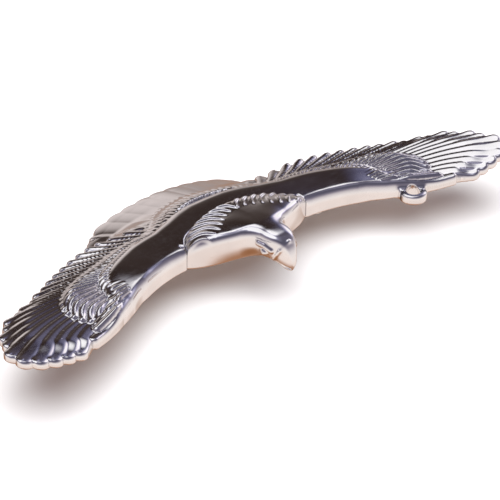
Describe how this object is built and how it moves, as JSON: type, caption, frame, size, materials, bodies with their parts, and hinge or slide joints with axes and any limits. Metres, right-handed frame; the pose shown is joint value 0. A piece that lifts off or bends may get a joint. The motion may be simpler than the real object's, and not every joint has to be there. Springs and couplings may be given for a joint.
{
  "type": "pin-back eagle badge",
  "caption": "Cast metal badge of an eagle in flight, with a chain eye on one wing and a hinged pin with a turning safety catch on the back.",
  "frame": {"origin": "under the middle of the badge, at the level of the lowest point of the pin set", "axes": "+X towards the bird's left wing tip, -Y the way the bird flies, +Z out of the front of the badge"},
  "size_m": [0.0756, 0.0266, 0.0085],
  "materials": {
    "plated_casting": "polished silver plate with darker toning in the grooves",
    "plated_fitting": "tumbled nickel plate",
    "steel_wire": "drawn spring wire, polished point"
  },
  "bodies": {
    "badge": {"wing_casting": "plated_casting", "head_casting": "plated_casting", "hinge_bracket": "plated_fitting", "hinge_rivet": "plated_fitting", "catch_base": "plated_fitting"},
    "stem": {"pin_stem": "steel_wire"},
    "rotor": {"catch_rotor": "plated_fitting"}
  },
  "joints": [
    {"name": "stem_hinge", "type": "hinge", "parent": "badge", "child": "stem", "pos_m": [0.015, 0.0004, 0.00165], "axis": [0, -1, 0], "range_deg": [0, 85]},
    {"name": "rotor_lock", "type": "hinge", "parent": "badge", "child": "rotor", "pos_m": [-0.015, 0.0004, 0.00165], "axis": [1, 0, 0], "range_deg": [0, 80]}
  ]
}
